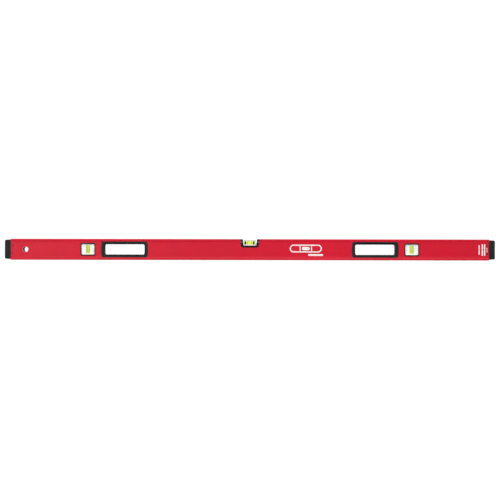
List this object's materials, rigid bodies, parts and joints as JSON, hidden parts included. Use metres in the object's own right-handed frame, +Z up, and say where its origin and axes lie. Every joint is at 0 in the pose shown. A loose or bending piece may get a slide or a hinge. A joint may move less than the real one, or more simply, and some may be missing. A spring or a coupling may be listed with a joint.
{
  "type": "spirit level",
  "caption": "Long box-section spirit level with a centre vial open at the top, plumb vials, ribbed hand grips, a hang hole and pull-off rubber end caps.",
  "frame": {"origin": "on the base, under the middle of the level", "axes": "+X along the level to its plain end, away from the hang hole; +Y to the rear; +Z up"},
  "size_m": [1.5, 0.03, 0.064],
  "materials": {
    "red_paint": "semi-gloss red powder coat on an aluminium extrusion",
    "black_plastic": "black, semi-gloss",
    "bezel_plastic": "dark grey, satin",
    "grip_plastic": "black-green, satin",
    "cap_plastic": "black, fine texture",
    "black_rubber": "matte black",
    "grip_rubber": "matte black, ribbed",
    "white_plastic": "white, smooth",
    "clear_acrylic": "clear, polished",
    "vial_fluid": "yellow-green liquid",
    "bubble": "air",
    "black_print": "black print"
  },
  "bodies": {
    "level": {"frame": "red_paint", "center_housing_front": "black_plastic", "center_housing_rear": "black_plastic", "center_cradle": "white_plastic", "center_vial_block": "clear_acrylic", "center_fluid": "vial_fluid", "center_bold_bands": "black_print", "center_fine_lines": "black_print", "center_end_plug": "white_plastic", "left_grip_front": "grip_plastic", "left_grip_rear": "grip_plastic", "left_grip_upper_pad": "grip_rubber", "left_grip_lower_pad": "grip_rubber", "left_plumb_bezel_front": "bezel_plastic", "left_plumb_bezel_rear": "bezel_plastic", "left_plumb_surround_front": "white_plastic", "left_plumb_surround_rear": "white_plastic", "left_plumb_vial_block": "clear_acrylic", "left_plumb_fluid": "vial_fluid", "left_plumb_lines": "black_print", "left_plumb_end_plug": "white_plastic", "right_grip_front": "grip_plastic", "right_grip_rear": "grip_plastic", "right_grip_upper_pad": "grip_rubber", "right_grip_lower_pad": "grip_rubber", "right_plumb_bezel_front": "bezel_plastic", "right_plumb_bezel_rear": "bezel_plastic", "right_plumb_surround_front": "white_plastic", "right_plumb_surround_rear": "white_plastic", "right_plumb_vial_block": "clear_acrylic", "right_plumb_fluid": "vial_fluid", "right_plumb_lines": "black_print", "right_plumb_end_plug": "white_plastic"},
    "left_cap": {"left_cap_core": "cap_plastic", "left_cap_bumper": "black_rubber", "left_cap_snap_pegs": "black_rubber"},
    "right_cap": {"right_cap_core": "cap_plastic", "right_cap_bumper": "black_rubber", "right_cap_snap_pegs": "black_rubber"},
    "center_bubble": {"center_bubble": "bubble"},
    "left_plumb_bubble": {"left_plumb_bubble": "bubble"},
    "right_plumb_bubble": {"right_plumb_bubble": "bubble"}
  },
  "joints": [
    {"name": "left_cap_pull", "type": "slide", "parent": "level", "child": "left_cap", "axis": [-1, 0, 0], "range_m": [0, 0.045], "deforming": ["left_cap_snap_pegs"]},
    {"name": "right_cap_pull", "type": "slide", "parent": "level", "child": "right_cap", "axis": [1, 0, 0], "range_m": [0, 0.045], "deforming": ["right_cap_snap_pegs"]},
    {"name": "center_bubble_travel", "type": "slide", "parent": "level", "child": "center_bubble", "axis": [1, 0, 0], "range_m": [-0.0112, 0.0112], "stiffness_N_per_m": 20},
    {"name": "left_plumb_bubble_travel", "type": "slide", "parent": "level", "child": "left_plumb_bubble", "axis": [0, 0, 1], "range_m": [-0.0066, 0.0066], "stiffness_N_per_m": 20},
    {"name": "right_plumb_bubble_travel", "type": "slide", "parent": "level", "child": "right_plumb_bubble", "axis": [0, 0, 1], "range_m": [-0.0066, 0.0066], "stiffness_N_per_m": 20}
  ]
}
